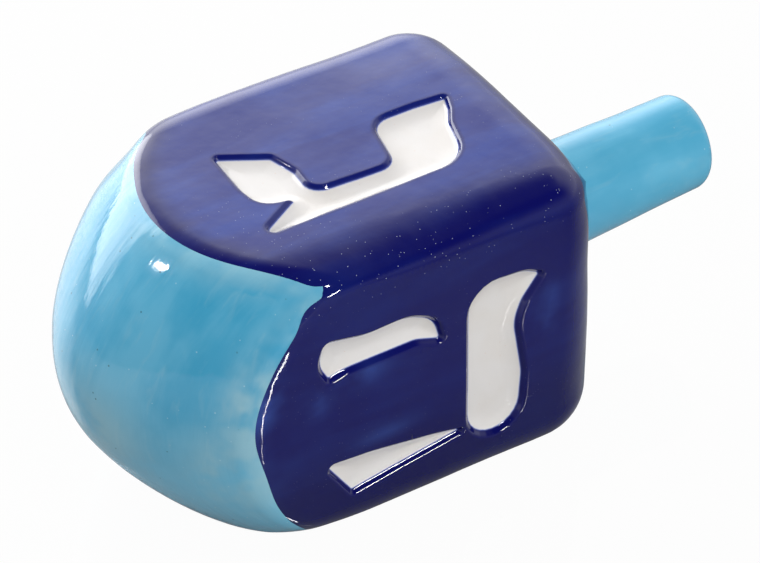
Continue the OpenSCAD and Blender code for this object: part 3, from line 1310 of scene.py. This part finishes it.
@dataclass
class Lamp:
    """A lamp by the direction that it shines from."""

    name: str
    azimuth: float
    elevation: float
    distance: float
    width: float
    height: float
    power: float
    soft: float = 0.0
    roll: float = 0.0

    def build(self, target: Vector) -> None:
        """Adds the lamp.

        Args:
            target: the point that it is aimed at.
        """
        data = bpy.data.lights.new(self.name, "AREA")
        data.shape, data.size, data.size_y, data.energy = "ELLIPSE", self.width, self.height, self.power
        if self.soft:
            self.fade(data)
        lamp = add_object(self.name, data)
        a, e = math.radians(self.azimuth), math.radians(self.elevation)
        away = Vector((math.cos(e) * math.cos(a), math.cos(e) * math.sin(a), math.sin(e)))
        lamp.location = target + away * self.distance
        turn = (-away).to_track_quat("-Z", "Y") @ Quaternion((0, 0, 1), math.radians(self.roll))
        lamp.rotation_euler = turn.to_euler()

    def fade(self, data: bpy.types.Light) -> None:
        """Lets the light fall off from the middle of the lamp to its rim.

        Args:
            data: the lamp's light.
        """
        board = Board(data)
        u, v, _ = board.parts(board.node("ShaderNodeNewGeometry", {}, {})["Parametric"])
        left = (1 - ((u - 0.5) ** 2 + (v - 0.5) ** 2) * 4).clamp() ** self.soft
        board.node("ShaderNodeOutputLight", {}, {"Surface": board.light("Emission", left)})


@dataclass
class Studio:
    """Floor, world, lamps and camera."""

    place: Matrix
    yaw: float = 56.8137
    pitch: float = 39.2115
    roll: float = -0.28998
    distance: float = 699.16
    shift_right: float = -7.133
    shift_down: float = 5.376
    target_x: float = -24.0
    lens: float = 172.13
    sensor: float = 36.0
    lamp_target: tuple[float, float, float] = (-0.01, 0.0, 0.032)
    floor_reach: float = 4.0
    floor_grey: Colour = (0.40, 0.40, 0.40)
    floor_shade: Colour = (0.12, 0.12, 0.12)
    floor_roughness: float = 0.03
    floor_ior: float = 2.1
    fill: float = 0.44
    back: tuple[float, float] = (0.42, 0.91)
    front_wall: tuple[float, float, float, float] = (0.15, 0.62, 0.33, 0.02)
    back_wall: tuple[float, float, float, float] = (0.66, 0.95, 1.0, 0.06)
    lamps: tuple[Lamp, ...] = (
        Lamp("left_lamp", 155.0, 31.5, 1.4, 0.04, 0.03, 0.9),
        Lamp("top_lamp", -74.0, 68.0, 1.4, 0.08, 0.05, 1.5),
        Lamp("front_strip", -83.0, 28.0, 1.4, 0.040, 0.72, 9.3, roll=-36.0),
        Lamp("window", 105.0, 10.0, 1.7, 1.70, 2.85, 71.0, soft=0.4),
        Lamp("back_panel", 70.0, 18.0, 1.8, 2.34, 2.34, 31.0, soft=2.0),
    )

    def build(self) -> None:
        """Makes the whole studio."""
        self.camera()
        self.floor()
        self.world()
        for lamp in self.lamps:
            lamp.build(Vector(self.lamp_target))
        bpy.context.scene.view_settings.view_transform = "Standard"

    def camera(self) -> None:
        """Puts the camera where the photograph was taken from."""
        y, p, r = (math.radians(v) for v in (self.yaw, self.pitch, self.roll))
        forward = Vector((math.cos(p) * math.cos(y), math.cos(p) * math.sin(y), -math.sin(p)))
        right = forward.cross(Vector((0, 0, 1))).normalized()
        down = forward.cross(right)
        right, down = (math.cos(r) * right + math.sin(r) * down, math.cos(r) * down - math.sin(r) * right)
        spot = Vector((self.target_x, 0, 0)) - forward * self.distance
        spot += right * self.shift_right + down * self.shift_down
        turn = Matrix((right, -down, -forward)).transposed().to_4x4()
        data = bpy.data.cameras.new("camera")
        data.lens, data.sensor_width, data.clip_start, data.clip_end = self.lens, self.sensor, 0.05, 50.0
        camera = add_object("camera", data)
        camera.matrix_world = Matrix.Translation(self.place @ (spot * MM)) @ turn
        bpy.context.scene.camera = camera

    def towards_back(self, x: Wire, y: Wire) -> Wire:
        """How far a place or a direction lies towards the back of the picture."""
        return x * self.back[0] + y * self.back[1]

    def floor(self) -> None:
        """A pale floor that is white to the camera and keeps the toy's shadow."""
        mesh = bpy.data.meshes.new("floor")
        half = self.floor_reach
        corners = [(-half, -half, 0), (half, -half, 0), (half, half, 0), (-half, half, 0)]
        mesh.from_pydata(corners, [], [(0, 1, 2, 3)])
        floor = add_object("floor", mesh)
        material = bpy.data.materials.new("floor")
        board = Board(material)
        path = board.node("ShaderNodeLightPath", {}, {})
        x, y, _ = board.parts(board.point())
        behind = self.towards_back(x, y).rise(0.02, 0.40)
        left = x.rise(-0.03, -0.30)
        share = path["Is Camera Ray"] * 0.97 + path["Is Glossy Ray"] * (behind * 0.15 + left * 0.8).clamp()
        grey = board.mix(path["Is Glossy Ray"] * x.rise(0.02, 0.10), self.floor_grey, self.floor_shade)
        pale = board.node("ShaderNodeBsdfPrincipled", {}, {
            "Base Color": grey, "Roughness": self.floor_roughness, "IOR": self.floor_ior})["BSDF"]
        white = board.light("Emission", 1.0)
        both = board.node("ShaderNodeMixShader", {}, {"Fac": share, 1: pale, 2: white})["Shader"]
        board.node("ShaderNodeOutputMaterial", {}, {"Surface": both})
        mesh.materials.append(material)

    def world(self) -> None:
        """A white room: white to the camera, and in reflections white behind and dark above and in front."""
        world = bpy.data.worlds.new("room")
        bpy.context.scene.world = world
        board = Board(world)
        path = board.node("ShaderNodeLightPath", {}, {})
        seen, glossy = path["Is Camera Ray"], path["Is Glossy Ray"]
        x, y, z = board.parts(board.node("ShaderNodeTexCoord", {}, {})["Generated"])
        behind = self.towards_back(x, y).rise(-0.25, 0.45)
        front_wall, back_wall = z.rise(*self.front_wall), z.rise(*self.back_wall)
        mirrored = front_wall + behind * (back_wall - front_wall)
        strength = seen + glossy * mirrored + (1 - (seen + glossy).clamp()) * self.fill
        board.node("ShaderNodeOutputWorld", {}, {"Surface": board.light("Background", strength)})


# Everything


def main() -> None:
    """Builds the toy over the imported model, and the studio round it."""
    logging.basicConfig(level=logging.INFO, format="%(message)s")
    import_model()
    body_low, body_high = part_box("body_casting")
    tip_low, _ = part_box("tip_casting")
    form = CastForm()
    shoulder = tip_low.x + form.body_length * MM
    place = Matrix.Translation((shoulder, 0, (body_low.z + body_high.z) / 2))
    cobalt, turquoise, white = COBALT.build(), TURQUOISE.build(), WHITE.build()
    glazes = {zone: white for zone in Zone}
    glazes[Zone.BODY], glazes[Zone.TIP] = cobalt, turquoise
    toy = Toy(place, form, fineness=FULL_FINENESS)
    pieces = toy.build(glazes)
    pieces.append(Handle(place).build(HANDLE_LIT_BLUE.build()))
    for piece in pieces:
        log.info("%s: %d faces", piece.name, len(piece.data.polygons))
    Studio(place).build()


if __name__ == "__main__":
    main()
